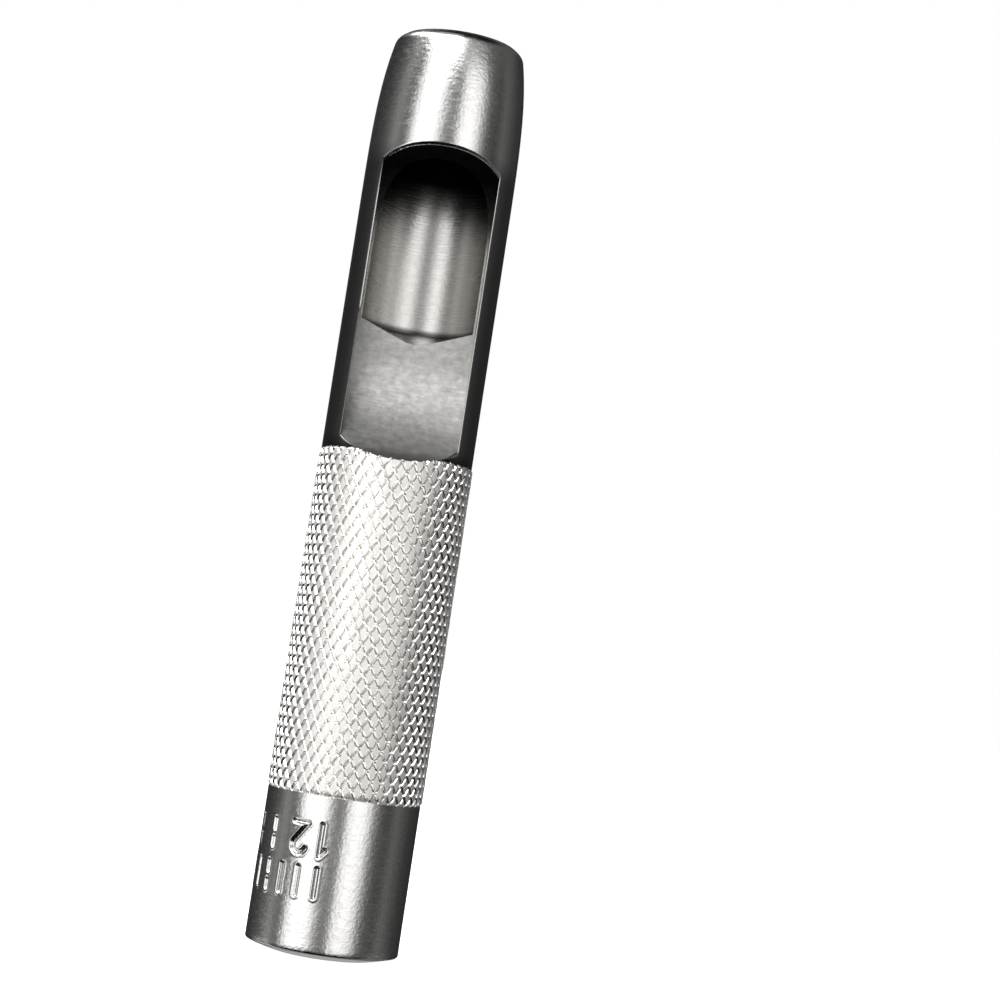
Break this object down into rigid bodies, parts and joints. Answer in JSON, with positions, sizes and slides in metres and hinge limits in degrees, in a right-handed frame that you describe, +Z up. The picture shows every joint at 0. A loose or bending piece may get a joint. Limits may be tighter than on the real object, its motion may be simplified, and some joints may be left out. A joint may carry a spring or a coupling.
{
  "type": "hollow punch",
  "caption": "Hollow steel punch for eyelet and grommet holes in leather: sharpened tubular nose, side window for the cut discs, knurled grip and plain striking head.",
  "frame": {"origin": "centre of the flat middle of the striking face", "axes": "+Z up the bar's axis to the cutting edge, -Y out of the ejection window"},
  "size_m": [0.0164, 0.0162, 0.0969],
  "materials": {
    "ground_steel": "ground and lightly polished",
    "milled_steel": "ground outside, milled and drilled inside",
    "knurled_steel": "diamond knurl"
  },
  "bodies": {
    "root": {"cutting_nose": "ground_steel", "window_shank": "milled_steel", "knurled_grip": "knurled_steel", "striking_head": "ground_steel"}
  },
  "joints": []
}
